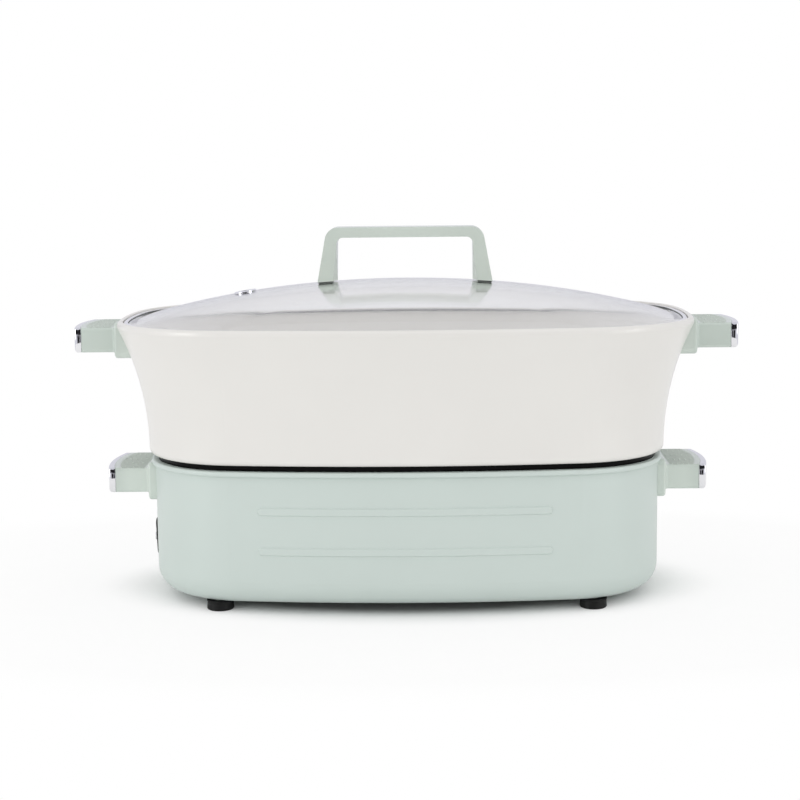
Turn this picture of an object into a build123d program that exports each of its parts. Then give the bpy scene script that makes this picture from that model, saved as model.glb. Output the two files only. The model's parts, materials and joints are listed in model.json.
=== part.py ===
from build123d import *
import os
from math import asin, atan, cos, degrees, radians, sin, sqrt

# Electric hot pot: a heating base, a lift-off flared pot and a lift-off glass lid.
# Millimetres. Z = 0 is the table and +X runs along the side handles.
# The plain long side faces -Y and the controls face +Y.

# Outline of the pot's foot. Every level of pot, base and lid is an offset of it.
HALF_LENGTH = 186.5
HALF_DEPTH = 109.6
CORNER_R = 73.0
SIDE_BOW_R = 893.0
END_BOW_R = 338.0

# Heights above the table
FOOT_HEIGHT = 7.0
BASE_HEIGHT = 94.9
POT_GAP = 4.1
POT_HEIGHT = 95.0

# Heating base
BASE_INSET = 4.0
BASE_WALL = 2.2
BASE_BOTTOM_R = 17.0
BASE_FLANGE = 34.0
LIP_PROUD = 2.7
LIP_HEIGHT = 3.7
LIP_ROUND = 1.5
LEDGE_DEPTH = 18.5
LEDGE_WIDTH = 6.0
RIB_LENGTH = 203.0
RIB_HEIGHT = 5.8
RIB_PROUD = 0.9
RIB_CHAMFER = 0.8
RIB_RISES = (39.1, 67.1)

# Seat ring, reflector tray and heating element
SEAT_GAP = 0.4
SEAT_WIDTH = 9.0
SEAT_WALL = 2.2
SHELF_WIDTH = 8.0
SHELF_DROP = 11.5
TRAY_SHEET = 0.8
TRAY_DEPTH = 10.0
TRAY_SIDE_GAP = 0.7
ELEMENT_TUBE_R = 3.3
ELEMENT_INSET = 52.0
ELEMENT_CLEAR = 1.4
ELEMENT_GATE = 22.0
ELEMENT_BEND_R = 8.0
ELEMENT_LEG = 30.0
CLIP_WIDTH = 10.0
CLIP_LENGTH = 8.0
CLIP_X = 78.0

# Temperature sensor under the pot's floor
SENSOR_R = 12.2
SENSOR_SLIP = 0.08
SENSOR_HEIGHT = 11.5
SENSOR_WALL = 1.4
SENSOR_COLLAR = 1.1
SENSOR_COLLAR_THICK = 2.0
SENSOR_TRAVEL = 2.0
GUIDE_WALL = 1.6
GUIDE_FLANGE = 5.0
GUIDE_LIP_DROP = 3.0
GUIDE_FLOOR_DROP = 30.5
SPRING_R = 8.0
SPRING_WIRE_R = 0.7
SPRING_TURNS = 5

# Bottom cover and feet
COVER_SHEET = 1.8
COVER_INSET = 46.0
VENT_SLOT = (46.0, 5.2)
VENT_PITCH = (60.0, 10.0)
COVER_SCREW_X = 90.0
FOOT_X = 131.2
FOOT_Y = 76.0
FOOT_R = 9.2
FOOT_FLARE = 0.4
FOOT_ROUND = 1.2
FOOT_RECESS = 3.2

# Screws
SCREW_R = 1.5
SCREW_HEAD_R = 3.0
SCREW_HEAD = 1.6
BOSS_R = 4.2
BOSS_HEIGHT = 8.0
SCREW_SINK = 0.4
LUG_SCREW_END = 1.0

# Controls on the back
PANEL_SIZE = (126.0, 46.0)
PANEL_ROUND = 12.0
PANEL_PROUD = 1.6
CONTROL_Z = 56.0
KNOB_R = 17.0
KNOB_LENGTH = 14.0
KNOB_GAP = 1.2
KNOB_TAPER = 1.4
KNOB_WALL = 2.4
SHAFT_R = 3.0
SHAFT_SLIP = 0.05
BUSH_R = 5.0
NUT_R = 8.0
NUT_THICK = 2.2
SWITCH_SIZE = (34.0, 22.0, 38.0)
SWITCH_GAP = 0.5
LENS_INSET = 19.0
LENS_R = 3.2
LENS_PROUD = 1.0
LENS_SEAT = 2.0
LAMP_LENGTH = 12.0

# Power inlet in the left end
INLET_SIZE = (44.0, 26.0)
INLET_Z = 40.0
INLET_ROUND = 4.0
INLET_PROUD = (1.0, 1.8)
INLET_BODY = (28.0, 19.0)
INLET_DEPTH = 22.0
INLET_WALL = 2.2
PIN_R = 2.0
PIN_LENGTH = 13.0
PIN_SPACING = 7.0
INLET_SCREW_Y = 18.0

# Side handles, the same grip on pot and base
GRIP_HALF_WIDTH = 34.0
GRIP_HEIGHT = 17.9
GRIP_REACH = 28.7
GRIP_BULGE = 4.5
GRIP_ROUND = 2.0
TRIM_WIDTH = 4.7
PAD_MARGIN = 4.0
PAD_EDGE = 1.2
PAD_THICK = 1.6
MOUNT_SHOULDER = 4.2
MOUNT_ROUND = 4.5
MOUNT_EDGE_R = 1.8
NECK_R = 2.1
BASE_MOUNT_REACH = 3.9
BASE_MOUNT_DROP = (4.2, 31.6)
BASE_GRIP_DROP = 17.5
POT_MOUNT_REACH = 0.8
POT_MOUNT_DROP = (1.6, 27.6)
POT_GRIP_DROP = 14.5
HANDLE_SCREW_Y = 20.0
HANDLE_SCREW_DROP = 26.3
HANDLE_SCREW_LENGTH = 11.0
INNER_BOSS_HEIGHT = 5.0
LUG_SIZE = (52.0, 8.0)
LUG_COVER = 1.8
LUG_SCREW_INSET = 4.6
LUG_SCREW_SPREAD = 8.0

# Pot
POT_WALL = 3.0
POT_FLOOR = 3.5
POT_FOOT_R = 4.0
POT_INNER_R = 8.0
FLARE_R = 195.0
RIM_BAND = 4.0
RIM_ROUND = 3.0
RIM_WIDTH = 4.2
POT_BOSS = 3.0
POT_BOSS_GAP = 1.0
LID_LEDGE_DEPTH = 5.8
LID_LEDGE_WIDTH = 3.0
LID_LEDGE_HEIGHT = 7.1

# Lid
LID_GAP = 0.6
LID_RIM_SHEET = 0.8
LID_RIM_FLANGE = 3.1
LID_RIM_LOWER = 4.5
LID_FLANGE_SHEET = 0.7
GLASS_THICK = 3.4
GLASS_EDGE_GAP = 0.3
GLASS_FLANGE = 5.1
GLASS_RISE = 27.1
GLASS_CROWN = 2.15
GASKET = 0.8
VENT_X = -117.0
VENT_HOLE_R = 5.0
VENT_FLANGE_R = 8.2
VENT_BORE_R = 2.2
VENT_FLANGE = 1.2

# Lid handle
HANDLE_TOP = 37.9
HANDLE_BAR = 7.4
HANDLE_SUNK = 6.0
HANDLE_HALF_DEPTH = 11.0
HANDLE_FOOT_X = 63.1
HANDLE_TOP_X = 56.1
HANDLE_INNER_X = 49.2
HANDLE_OUTER_R = 9.5
HANDLE_INNER_R = 4.7
HANDLE_FACET = 3.7
HANDLE_BOLT_X = 55.8
HANDLE_BOLT_R = 2.5
HANDLE_BOLT_LENGTH = 22.0
WASHER_R = 6.4
WASHER_THICK = 3.0

# Heights and offsets that follow from the sizes above
BASE_Z = FOOT_HEIGHT
BASE_TOP = BASE_Z + BASE_HEIGHT
POT_Z = BASE_TOP + POT_GAP
RIM_Z = POT_Z + POT_HEIGHT
WALL_X = -BASE_INSET
WALL_IN = WALL_X - BASE_WALL
LEDGE_Z = BASE_TOP - LEDGE_DEPTH
SEAT_X = WALL_IN - SEAT_GAP
SEAT_IN = SEAT_X - SEAT_WIDTH
SHELF_Z = POT_Z - SHELF_DROP
SHELF_IN = SEAT_IN - SHELF_WIDTH
TRAY_X = SHELF_IN - TRAY_SIDE_GAP
TRAY_FLOOR_Z = SHELF_Z - TRAY_DEPTH
BOSS_Z = POT_Z - POT_BOSS
ELEMENT_Z = BOSS_Z - ELEMENT_CLEAR - ELEMENT_TUBE_R
GUIDE_FLOOR_Z = BOSS_Z - GUIDE_FLOOR_DROP
FLANGE_IN = WALL_X - BASE_BOTTOM_R - BASE_FLANGE
FLARE_Z = POT_Z + POT_FOOT_R
RIM_X = FLARE_R - sqrt(FLARE_R**2 - (RIM_Z - RIM_BAND - FLARE_Z) ** 2)
MOUTH_X = RIM_X - RIM_WIDTH
LID_Z = RIM_Z - LID_LEDGE_DEPTH
LID_X = MOUTH_X - LID_GAP
GLASS_X = LID_X - LID_RIM_SHEET - GLASS_EDGE_GAP
GLASS_Z = LID_Z + LID_FLANGE_SHEET + GLASS_THICK
DOME_X = GLASS_X - GLASS_FLANGE
DOME_HALF_LENGTH = HALF_LENGTH + DOME_X
CREST_Z = GLASS_Z + GLASS_RISE
HANDLE_LOW_Z = CREST_Z - HANDLE_SUNK
HANDLE_TOP_Z = CREST_Z + HANDLE_TOP
MOUNT_HALF_WIDTH = GRIP_HALF_WIDTH + MOUNT_SHOULDER
BASE_MOUNT_X = HALF_LENGTH + WALL_X + BASE_MOUNT_REACH
BASE_GRIP_Z = BASE_TOP - BASE_GRIP_DROP
HANDLE_SCREW_Z = BASE_TOP - HANDLE_SCREW_DROP
POT_MOUNT_X = HALF_LENGTH + RIM_X + POT_MOUNT_REACH
POT_MOUNT_LOW = RIM_Z - POT_MOUNT_DROP[1]
POT_GRIP_Z = RIM_Z - POT_GRIP_DROP
LUG_X = POT_MOUNT_X - LUG_COVER
LUG_Z = POT_GRIP_Z - GRIP_HEIGHT / 2
LUG_SCREW_X = POT_MOUNT_X - LUG_SCREW_INSET
LUG_SCREW_Y = LUG_SIZE[0] / 2 - LUG_SCREW_SPREAD
LUG_SCREW_Z = POT_MOUNT_LOW + SCREW_HEAD + SCREW_SINK
LUG_SCREW_LENGTH = LUG_Z + LUG_SIZE[1] - LUG_SCREW_END - LUG_SCREW_Z
COLLAR_R = SENSOR_R + SENSOR_COLLAR
COLLAR_Z = BOSS_Z - SENSOR_HEIGHT
GUIDE_BORE_R = COLLAR_R + SENSOR_SLIP
GUIDE_R = GUIDE_BORE_R + GUIDE_WALL
GUIDE_LIP_Z = COLLAR_Z + SENSOR_COLLAR_THICK + GUIDE_LIP_DROP
PANEL_Y = HALF_DEPTH + WALL_X + PANEL_PROUD
KNOB_Y = PANEL_Y + KNOB_GAP
KNOB_FRONT = KNOB_Y + KNOB_LENGTH
LENS_X = PANEL_SIZE[0] / 2 - LENS_INSET

# Reach of the sections towards the middle, and length of a rod that cuts right through
CORE = 40.0
THROUGH = 60.0


# ---- outline of tangent arcs -------------------------------------------------

def corner_centre():
    """Centre of the corner arc that is tangent to the bowed side and the bowed end."""
    side, end = Vector(0, HALF_DEPTH - SIDE_BOW_R), Vector(HALF_LENGTH - END_BOW_R, 0)
    to_side, to_end = SIDE_BOW_R - CORNER_R, END_BOW_R - CORNER_R
    span = end - side
    along = (to_side**2 - to_end**2 + span.length**2) / (2 * span.length)
    away = sqrt(to_side**2 - along**2)
    unit = span.normalized()
    return side + unit * along + Vector(unit.Y, -unit.X) * away


SIDE_CENTRE = Vector(0, HALF_DEPTH - SIDE_BOW_R)
END_CENTRE = Vector(HALF_LENGTH - END_BOW_R, 0)
CORNER_CENTRE = corner_centre()


def side_y(x, offset):
    """Y of the long side at the given X."""
    return SIDE_CENTRE.Y + sqrt((SIDE_BOW_R + offset) ** 2 - x**2)


def end_x(y, offset):
    """X of the end at the given Y."""
    return END_CENTRE.X + sqrt((END_BOW_R + offset) ** 2 - y**2)


def outline(offset, z=0.0):
    """Closed outline at height z, clockwise from the middle of the +X end."""
    r = CORNER_R + offset
    to_side = (CORNER_CENTRE - SIDE_CENTRE).normalized()
    to_end = (CORNER_CENTRE - END_CENTRE).normalized()
    side = CORNER_CENTRE + to_side * r
    bend = CORNER_CENTRE + (to_side + to_end).normalized() * r
    end = CORNER_CENTRE + to_end * r
    middle = Vector(0, HALF_DEPTH + offset)
    tip = Vector(HALF_LENGTH + offset, 0)
    near_tip = Vector(end_x(end.Y / 2, offset), end.Y / 2)

    def arc(p, q, s, signs):
        return Edge.make_three_point_arc(*[(v.X * signs[0], v.Y * signs[1], z) for v in (p, q, s)])

    def across(v):
        return Vector(-v.X, v.Y)

    def below(v):
        return Vector(v.X, -v.Y)

    return Wire([
        arc(tip, near_tip, end, (1, -1)), arc(end, bend, side, (1, -1)),
        arc(side, middle, across(side), (1, -1)), arc(side, bend, end, (-1, -1)),
        arc(below(end), tip, end, (-1, 1)), arc(end, bend, side, (-1, 1)),
        arc(across(side), middle, side, (1, 1)), arc(side, bend, end, (1, 1)),
        arc(end, near_tip, tip, (1, 1)),
    ])


def plate(offset, z0, z1):
    """Solid plate with the outline at one offset."""
    return extrude(make_face(outline(offset, z0)), z1 - z0, dir=(0, 0, 1))


def ring(section):
    """Sweep a section, drawn as offset and height, once round the outline."""
    plane = Plane(origin=(HALF_LENGTH, 0, 0), x_dir=(1, 0, 0), z_dir=(0, -1, 0))
    return sweep(plane * section, path=outline(0))


def rect(x0, x1, z0, z1):
    """Rectangle of a section."""
    return Pos((x0 + x1) / 2, (z0 + z1) / 2) * Rectangle(abs(x1 - x0), abs(z1 - z0))


def rounded(section, corners, radius):
    """Round the section's corners that lie nearest to the given points."""
    picked = [section.vertices().sort_by_distance(Vector(*c))[0] for c in corners]
    return fillet(picked, radius)


def block(x0, x1, y0, y1, z0, z1):
    """Box between two corners."""
    return Pos((x0 + x1) / 2, (y0 + y1) / 2, (z0 + z1) / 2) * Box(
        abs(x1 - x0), abs(y1 - y0), abs(z1 - z0))


def rod(start, direction, radius, length):
    """Cylinder from a start point along a direction."""
    return Plane(origin=start, z_dir=direction) * extrude(Circle(radius), length)


def screw(seat, direction, length, radius=SCREW_R, head_r=SCREW_HEAD_R, head=SCREW_HEAD):
    """Pan head screw: its head stands on the seat and its shank runs along the direction."""
    back = tuple(-d for d in direction)
    pan = rod(seat, back, head_r, head)
    top = pan.edges().filter_by(GeomType.CIRCLE).sort_by_distance(Vector(*seat))[-1]
    return fillet(top, head * 0.4) + rod(seat, direction, radius, length)


def both_ends(shape):
    """The shape and its mirror image at the other end."""
    return shape + mirror(shape, about=Plane.YZ)


# Places that follow from the outline
INNER_BOSS_X = end_x(HANDLE_SCREW_Y, WALL_IN) - INNER_BOSS_HEIGHT
SWITCH_Y = side_y(SWITCH_SIZE[0] / 2, WALL_IN) - SWITCH_GAP
LENS_BACK = side_y(LENS_X, WALL_IN) - LENS_SEAT
INLET_X = -end_x(0, WALL_X)


# ---- envelopes, used to cut pieces that lie against a curved wall --------------

def base_envelope():
    """Filled outside of the base below its lip."""
    return plate(WALL_X, BASE_Z, BASE_TOP)


def pot_section(inset, bottom, top, foot_r):
    """Filled half section of the pot, from the core to its flared wall."""
    centre_x = FLARE_R - inset
    lean = asin((top - FLARE_Z) / FLARE_R)
    drop = max(bottom + foot_r - FLARE_Z, 0.0)
    foot_x = centre_x - sqrt((FLARE_R + foot_r) ** 2 - drop**2)
    meet = asin(drop / (FLARE_R + foot_r))
    touch = (foot_x + foot_r * cos(meet), bottom + foot_r - foot_r * sin(meet))
    under = radians(45) + meet / 2
    middle = (meet + lean) / 2
    flare = (centre_x - FLARE_R * cos(lean), top)
    with BuildSketch() as sketch:
        with BuildLine():
            ThreePointArc((foot_x, bottom), (foot_x + foot_r * sin(under - meet),
                          bottom + foot_r - foot_r * cos(under - meet)), touch)
            if FLARE_Z > touch[1] + 0.01:
                Line(touch, (-inset, FLARE_Z))
                touch = (-inset, FLARE_Z)
            ThreePointArc(touch, (centre_x - FLARE_R * cos(middle), FLARE_Z + FLARE_R * sin(middle)),
                          flare)
            Polyline(flare, (-CORE, top), (-CORE, bottom), (foot_x, bottom))
        make_face()
    return sketch.sketch


def pot_envelope():
    """Filled outside of the pot, up to the rim's crest."""
    low = pot_section(0, POT_Z, RIM_Z - RIM_BAND, POT_FOOT_R)
    rim = rounded(rect(-CORE, RIM_X, RIM_Z - RIM_BAND, RIM_Z), [(RIM_X, RIM_Z)], RIM_ROUND)
    return ring(low) + ring(rim) + plate(-CORE, POT_Z, RIM_Z)


# ---- heating base --------------------------------------------------------------

def base_section():
    """Section of the base shell: lip, wall, inner ledge, bottom curve and flange."""
    knee_x, knee_z = WALL_X - BASE_BOTTOM_R, BASE_Z + BASE_BOTTOM_R
    turn = sqrt(0.5)
    inner_r = BASE_BOTTOM_R - BASE_WALL
    lip_x, lip_z = WALL_X + LIP_PROUD, BASE_TOP - LIP_HEIGHT
    with BuildSketch() as sketch:
        with BuildLine():
            Polyline((WALL_X, knee_z), (WALL_X, lip_z), (lip_x, lip_z), (lip_x, BASE_TOP),
                     (WALL_IN, BASE_TOP), (WALL_IN, LEDGE_Z),
                     (WALL_IN - LEDGE_WIDTH, LEDGE_Z),
                     (WALL_IN - LEDGE_WIDTH, LEDGE_Z - BASE_WALL),
                     (WALL_IN, LEDGE_Z - BASE_WALL), (WALL_IN, knee_z))
            ThreePointArc((WALL_IN, knee_z), (knee_x + inner_r * turn, knee_z - inner_r * turn),
                          (knee_x, BASE_Z + BASE_WALL))
            Polyline((knee_x, BASE_Z + BASE_WALL), (FLANGE_IN, BASE_Z + BASE_WALL),
                     (FLANGE_IN, BASE_Z), (knee_x, BASE_Z))
            ThreePointArc((knee_x, BASE_Z),
                          (knee_x + BASE_BOTTOM_R * turn, knee_z - BASE_BOTTOM_R * turn),
                          (WALL_X, knee_z))
        make_face()
    return rounded(sketch.sketch, [(lip_x, lip_z), (lip_x, BASE_TOP)], LIP_ROUND)


def foot_places():
    return {"front_left": (-FOOT_X, -FOOT_Y), "front_right": (FOOT_X, -FOOT_Y),
            "back_left": (-FOOT_X, FOOT_Y), "back_right": (FOOT_X, FOOT_Y)}


def cover_screw_places():
    """Middle of the strip where the bottom cover overlaps the flange."""
    strip = (FLANGE_IN - COVER_INSET) / 2
    y = side_y(COVER_SCREW_X, strip)
    sides = [(sx * COVER_SCREW_X, sy * y) for sx in (-1, 1) for sy in (-1, 1)]
    return sides + [(-end_x(0, strip), 0), (end_x(0, strip), 0)]


def side_ribs():
    """Two raised ribs across the front."""
    skin = ring(rect(WALL_X - BASE_WALL / 2, WALL_X + RIB_PROUD, BASE_Z + 20, BASE_TOP - 20))
    ribs = Part()
    for rise in RIB_RISES:
        slot = Plane.XZ * Pos(0, BASE_Z + rise) * SlotOverall(RIB_LENGTH, RIB_HEIGHT)
        rib = skin & extrude(slot, HALF_DEPTH * 2, dir=(0, -1, 0))
        front = rib.faces().sort_by(Axis.Y)[0]
        ribs += chamfer(front.edges(), RIB_CHAMFER)
    return ribs


def control_hole(x, radius):
    """Bore from inside the base out through the back wall and the panel."""
    return rod((x, PANEL_Y - THROUGH / 2, CONTROL_Z), (0, 1, 0), radius, THROUGH)


def inlet_body():
    """Box of the power inlet, behind its flange."""
    depth, height = INLET_BODY
    return block(INLET_X - INLET_PROUD[0], INLET_X + INLET_DEPTH, -depth / 2, depth / 2,
                 INLET_Z - height / 2, INLET_Z + height / 2)


def inlet_screw_seats():
    return [(INLET_X - INLET_PROUD[0], s * INLET_SCREW_Y, INLET_Z) for s in (-1, 1)]


def base_shell():
    shell = ring(base_section()) + side_ribs()
    bosses = [rod((x, y, BASE_Z), (0, 0, 1), BOSS_R, BASE_WALL + BOSS_HEIGHT)
              for x, y in list(foot_places().values()) + cover_screw_places()]
    for y in (-HANDLE_SCREW_Y, HANDLE_SCREW_Y):
        reach = end_x(y, WALL_X) - 1.0 - INNER_BOSS_X
        bosses.append(both_ends(rod((INNER_BOSS_X, y, HANDLE_SCREW_Z), (1, 0, 0), BOSS_R, reach)))
    for boss in bosses:
        shell += boss
    for x, y in list(foot_places().values()) + cover_screw_places():
        shell -= rod((x, y, BASE_Z - 1), (0, 0, 1), SCREW_R, BASE_WALL + BOSS_HEIGHT)
    for y in (-HANDLE_SCREW_Y, HANDLE_SCREW_Y):
        shell -= both_ends(rod((INNER_BOSS_X - 1, y, HANDLE_SCREW_Z), (1, 0, 0), SCREW_R, 20))
    shell -= control_hole(0, BUSH_R) + control_hole(LENS_X, LENS_R)
    shell -= inlet_body()
    for x, y, z in inlet_screw_seats():
        shell -= rod((x, y, z), (1, 0, 0), SCREW_R, INLET_DEPTH)
    return shell


def seat_ring():
    """Glossy black ring that carries the pot, with an inner shelf for the tray."""
    section = rect(SEAT_X - SEAT_WALL, SEAT_X, LEDGE_Z, POT_Z)
    section += rect(SEAT_IN, SEAT_X, POT_Z - SEAT_WALL, POT_Z)
    section += rect(SEAT_IN, SEAT_IN + SEAT_WALL, SHELF_Z - SEAT_WALL, POT_Z)
    section += rect(SHELF_IN, SEAT_IN + SEAT_WALL, SHELF_Z - SEAT_WALL, SHELF_Z)
    return ring(rounded(section, [(SEAT_X, POT_Z)], 0.8))


def element_bend():
    """Start of the loop beside its gate, and the direction of the tube there."""
    lean = asin(ELEMENT_GATE / (SIDE_BOW_R - ELEMENT_INSET))
    return Vector(ELEMENT_GATE, side_y(ELEMENT_GATE, -ELEMENT_INSET), ELEMENT_Z), Vector(
        -cos(lean), sin(lean), 0)


def element_path():
    """Loop of the heating tube, with both ends bent down through the tray."""
    start, heading = element_bend()
    gate = block(-ELEMENT_GATE, ELEMENT_GATE, 0, HALF_DEPTH, ELEMENT_Z - 1, ELEMENT_Z + 1)
    loop = [e for edge in outline(-ELEMENT_INSET, ELEMENT_Z).edges() for e in (edge - gate).edges()]
    half_turn = Vector(0, 0, -ELEMENT_BEND_R * (1 - sqrt(0.5)))
    ends = []
    for s in (-1, 1):
        middle = start + heading * ELEMENT_BEND_R * sqrt(0.5) + half_turn
        points = [start, middle, ELEMENT_FOOT, ELEMENT_FOOT - Vector(0, 0, ELEMENT_LEG)]
        points = [Vector(s * p.X, p.Y, p.Z) for p in points]
        ends.append(Edge.make_three_point_arc(*points[:3]))
        ends.append(Edge.make_line(*points[2:]))
    return Wire(loop + ends)


ELEMENT_FOOT = (element_bend()[0] + element_bend()[1] * ELEMENT_BEND_R
                - Vector(0, 0, ELEMENT_BEND_R))
ELEMENT_LEG_X, ELEMENT_LEG_Y = ELEMENT_FOOT.X, ELEMENT_FOOT.Y
ELEMENT_END_Z = ELEMENT_FOOT.Z - ELEMENT_LEG


def heating_element():
    path = element_path()
    end = Plane(origin=(ELEMENT_LEG_X, ELEMENT_LEG_Y, ELEMENT_END_Z), z_dir=(0, 0, 1))
    return sweep(end * Circle(ELEMENT_TUBE_R), path=path)


def clip_places():
    """Where the tube's two long runs cross the support clips."""
    y = side_y(CLIP_X, -ELEMENT_INSET)
    return [(sx * CLIP_X, sy * y) for sx in (-1, 1) for sy in (-1, 1)]


def element_clips(element):
    """Four posts that stand on the tray and cradle the tube."""
    posts = Part()
    for x, y in clip_places():
        posts += block(x - CLIP_LENGTH / 2, x + CLIP_LENGTH / 2, y - CLIP_WIDTH / 2,
                       y + CLIP_WIDTH / 2, TRAY_FLOOR_Z + TRAY_SHEET, ELEMENT_Z)
    return posts - element


def element_terminals():
    """Ceramic sleeves with connector tabs on the cold ends of the tube."""
    parts = Part()
    for s in (-1, 1):
        at = (s * ELEMENT_LEG_X, ELEMENT_LEG_Y, ELEMENT_END_Z - 2)
        sleeve = rod(at, (0, 0, 1), ELEMENT_TUBE_R + 1.6, 12)
        sleeve -= rod((at[0], at[1], ELEMENT_END_Z), (0, 0, 1), ELEMENT_TUBE_R + 0.15, 12)
        tab = block(at[0] - 3, at[0] + 3, at[1] - 0.4, at[1] + 0.4, at[2] - 8, at[2])
        parts += sleeve + tab
    return parts


def reflector_tray():
    """Sheet dish under the element. Its flange rests on the seat ring's shelf."""
    section = rect(TRAY_X - TRAY_SHEET, SEAT_IN - TRAY_SIDE_GAP, SHELF_Z, SHELF_Z + TRAY_SHEET)
    section += rect(TRAY_X - TRAY_SHEET, TRAY_X, TRAY_FLOOR_Z, SHELF_Z + TRAY_SHEET)
    section += rect(-CORE, TRAY_X, TRAY_FLOOR_Z, TRAY_FLOOR_Z + TRAY_SHEET)
    tray = ring(section) + plate(-CORE, TRAY_FLOOR_Z, TRAY_FLOOR_Z + TRAY_SHEET)
    tray -= rod((0, 0, TRAY_FLOOR_Z - 1), (0, 0, 1), GUIDE_R, TRAY_SHEET + 2)
    for s in (-1, 1):
        tray -= rod((s * ELEMENT_LEG_X, ELEMENT_LEG_Y, TRAY_FLOOR_Z - 1), (0, 0, 1),
                    ELEMENT_TUBE_R + 1, TRAY_SHEET + 2)
    return tray


# ---- temperature sensor ---------------------------------------------------------

def sensor_guide():
    """Flanged sleeve in the middle of the tray, with a floor for the spring."""
    top = BOSS_Z - SENSOR_TRAVEL - 1.5
    flange_z = TRAY_FLOOR_Z + TRAY_SHEET
    guide = rod((0, 0, GUIDE_FLOOR_Z - GUIDE_WALL), (0, 0, 1), GUIDE_R,
                top - GUIDE_FLOOR_Z + GUIDE_WALL)
    guide += rod((0, 0, flange_z), (0, 0, 1), GUIDE_R + GUIDE_FLANGE, GUIDE_WALL)
    guide -= rod((0, 0, GUIDE_FLOOR_Z), (0, 0, 1), GUIDE_BORE_R, GUIDE_LIP_Z - GUIDE_FLOOR_Z)
    guide -= rod((0, 0, GUIDE_FLOOR_Z), (0, 0, 1), SENSOR_R + SENSOR_SLIP, top)
    return guide - rod((0, 0, GUIDE_FLOOR_Z - 3), (0, 0, 1), SPRING_R / 2, 6)


def sensor_cap():
    """Cup that the spring holds up against the pot's floor."""
    cap = rod((0, 0, COLLAR_Z), (0, 0, 1), SENSOR_R, SENSOR_HEIGHT)
    cap = fillet(cap.edges().filter_by(GeomType.CIRCLE).sort_by(Axis.Z)[-1], 1.0)
    cap += rod((0, 0, COLLAR_Z), (0, 0, 1), COLLAR_R, SENSOR_COLLAR_THICK)
    return cap - rod((0, 0, COLLAR_Z), (0, 0, 1), SENSOR_R - SENSOR_WALL,
                     SENSOR_HEIGHT - SENSOR_WALL)


def sensor_spring():
    """Coil spring with a flat ring at each end."""
    low = GUIDE_FLOOR_Z + SPRING_WIRE_R
    high = BOSS_Z - SENSOR_WALL - SPRING_WIRE_R
    path = Helix(pitch=(high - low) / SPRING_TURNS, height=high - low, radius=SPRING_R,
                 center=(0, 0, low))
    start = Plane(origin=path @ 0, z_dir=path % 0)
    coil = sweep(start * Circle(SPRING_WIRE_R), path=path, is_frenet=True)
    for z in (low, high):
        coil += Pos(0, 0, z) * Torus(SPRING_R, SPRING_WIRE_R)
    return coil


# ---- bottom cover and feet -------------------------------------------------------

def bottom_cover():
    """Sheet cover with rows of air slots, screwed under the flange."""
    cover = plate(-COVER_INSET, BASE_Z - COVER_SHEET, BASE_Z)
    slot = extrude(SlotOverall(*VENT_SLOT), COVER_SHEET + 2)
    for column in (-1, 0, 1):
        for row in (-1.5, -0.5, 0.5, 1.5):
            cover -= Pos(column * VENT_PITCH[0], row * VENT_PITCH[1], BASE_Z - COVER_SHEET - 1) * slot
    for x, y in cover_screw_places():
        cover -= rod((x, y, BASE_Z - COVER_SHEET), (0, 0, 1), SCREW_R, COVER_SHEET)
    return cover


def bottom_cover_screws():
    screws = Part()
    for x, y in cover_screw_places():
        screws += screw((x, y, BASE_Z - COVER_SHEET), (0, 0, 1), COVER_SHEET + BOSS_HEIGHT)
    return screws


def foot(x, y):
    """Rubber foot with a slightly flared tread and a recess for its screw."""
    with BuildSketch(Plane.XZ) as sketch:
        with BuildLine():
            Polyline((0, 0), (FOOT_R + FOOT_FLARE, 0), (FOOT_R, FOOT_HEIGHT - 1.2),
                     (FOOT_R + FOOT_FLARE, FOOT_HEIGHT - 0.8), (FOOT_R + FOOT_FLARE, FOOT_HEIGHT),
                     (0, FOOT_HEIGHT), close=True)
        make_face()
    body = revolve(sketch.sketch, Axis.Z)
    tread = body.edges().filter_by(GeomType.CIRCLE).sort_by(Axis.Z)[0]
    body = fillet(tread, FOOT_ROUND)
    body -= rod((0, 0, 0), (0, 0, 1), SCREW_HEAD_R + 0.6, FOOT_RECESS)
    body -= rod((0, 0, 0), (0, 0, 1), SCREW_R, FOOT_HEIGHT)
    return Pos(x, y, 0) * body


def foot_screws():
    screws = Part()
    for x, y in foot_places().values():
        screws += screw((x, y, FOOT_RECESS), (0, 0, 1), FOOT_HEIGHT - FOOT_RECESS + BOSS_HEIGHT)
    return screws


# ---- controls --------------------------------------------------------------------

def control_panel():
    """Flat plaque on the bowed back wall."""
    face = RectangleRounded(*PANEL_SIZE, PANEL_ROUND) - Circle(BUSH_R)
    face -= Pos(LENS_X, 0) * Circle(LENS_R)
    plane = Plane(origin=(0, SWITCH_Y, CONTROL_Z), x_dir=(1, 0, 0), z_dir=(0, -1, 0))
    body = extrude(plane * face, PANEL_Y - SWITCH_Y, dir=(0, 1, 0))
    body -= rod((0, SIDE_CENTRE.Y, BASE_Z), (0, 0, 1), SIDE_BOW_R + WALL_X, BASE_HEIGHT)
    return fillet(body.faces().sort_by(Axis.Y)[-1].outer_wire().edges(), PANEL_PROUD * 0.4)


def thermostat_switch():
    """Rotary thermostat inside the wall. Its threaded bush passes through the panel."""
    width, depth, height = SWITCH_SIZE
    body = block(-width / 2, width / 2, SWITCH_Y - depth, SWITCH_Y,
                 CONTROL_Z - height / 2, CONTROL_Z + height / 2)
    body += rod((0, SWITCH_Y, CONTROL_Z), (0, 1, 0), BUSH_R, PANEL_Y + NUT_THICK - SWITCH_Y)
    for s in (-1, 1):
        body += block(s * 8 - 3, s * 8 + 3, SWITCH_Y - depth - 8, SWITCH_Y - depth,
                      CONTROL_Z - 0.4, CONTROL_Z + 0.4)
    return body - rod((0, SWITCH_Y - depth / 2, CONTROL_Z), (0, 1, 0), SHAFT_R + SHAFT_SLIP, THROUGH)


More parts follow.
